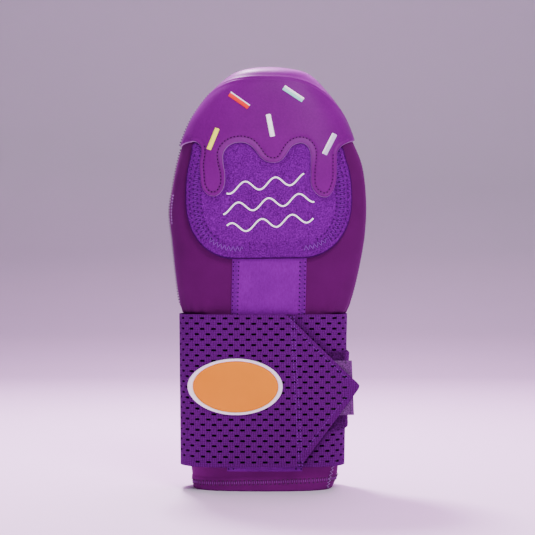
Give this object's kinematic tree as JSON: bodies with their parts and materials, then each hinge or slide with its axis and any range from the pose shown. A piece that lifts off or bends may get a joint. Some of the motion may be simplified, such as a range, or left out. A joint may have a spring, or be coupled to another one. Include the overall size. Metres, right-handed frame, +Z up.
{
  "type": "baseball sliding mitt",
  "caption": "Padded sliding mitt standing on its open cuff, with a dripping fingertip cap, a plush patch and a wound wrist strap with a pointed end.",
  "frame": {"origin": "on the ground under the middle of the mitt's box, where the open cuff stands", "axes": "+Z up from the cuff to the fingertips; -Y out of the back of the hand; +X to the right of that face"},
  "size_m": [0.1214, 0.0576, 0.2599],
  "materials": {
    "body_fabric": "matte foam-backed knit",
    "cuff_fabric": "matte foam-backed knit",
    "cap_leather": "coated, soft gloss",
    "plush": "short pile",
    "strip_fabric": "smooth brushed loop",
    "strap_elastic": "perforated elastic",
    "hook_tape": "moulded hooks, translucent",
    "loop_pad": "loop pile",
    "badge_orange": "moulded, satin",
    "badge_white": "moulded, satin",
    "thread_coral": "satin stitch",
    "thread_mint": "satin stitch",
    "thread_white": "satin stitch",
    "thread_yellow": "satin stitch",
    "thread_lilac": "satin stitch"
  },
  "bodies": {
    "root": {"back_of_hand_panel": "body_fabric", "palm_panel": "body_fabric", "wrist_cuff": "cuff_fabric", "fingertip_cap": "cap_leather", "plush_patch": "plush", "centre_strip": "strip_fabric", "wrist_strap": "strap_elastic", "hook_tape": "hook_tape", "loop_pad": "loop_pad", "badge_face": "badge_orange", "badge_rim": "badge_white", "sprinkle_coral": "thread_coral", "sprinkle_mint": "thread_mint", "sprinkle_white": "thread_white", "sprinkle_yellow": "thread_yellow", "sprinkle_lilac": "thread_lilac"}
  },
  "joints": []
}
